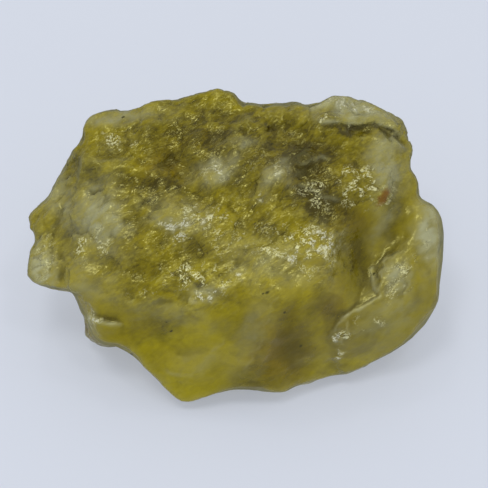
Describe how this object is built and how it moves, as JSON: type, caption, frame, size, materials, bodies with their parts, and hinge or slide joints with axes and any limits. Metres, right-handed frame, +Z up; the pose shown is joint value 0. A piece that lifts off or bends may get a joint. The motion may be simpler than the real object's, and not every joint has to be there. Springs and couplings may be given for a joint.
{
  "type": "rough lemon topaz",
  "caption": "Rough lump of yellow-green crystal: sugary broken top, smooth shell-like breaks at the front, a raised lobe and a small knob. It lies on a flat break.",
  "frame": {"origin": "on the table, under the middle of the stone's bounding box", "axes": "+X along the stone's longest run, to the right in the picture; +Y away from the viewer; +Z up"},
  "size_m": [0.0452, 0.0284, 0.0244],
  "materials": {
    "lemon_crystal": "rough broken crystal: sugary and glinting on top, satin-smooth on the front breaks, see-through at thin edges"
  },
  "bodies": {
    "root": {"rough_topaz": "lemon_crystal"}
  },
  "joints": []
}
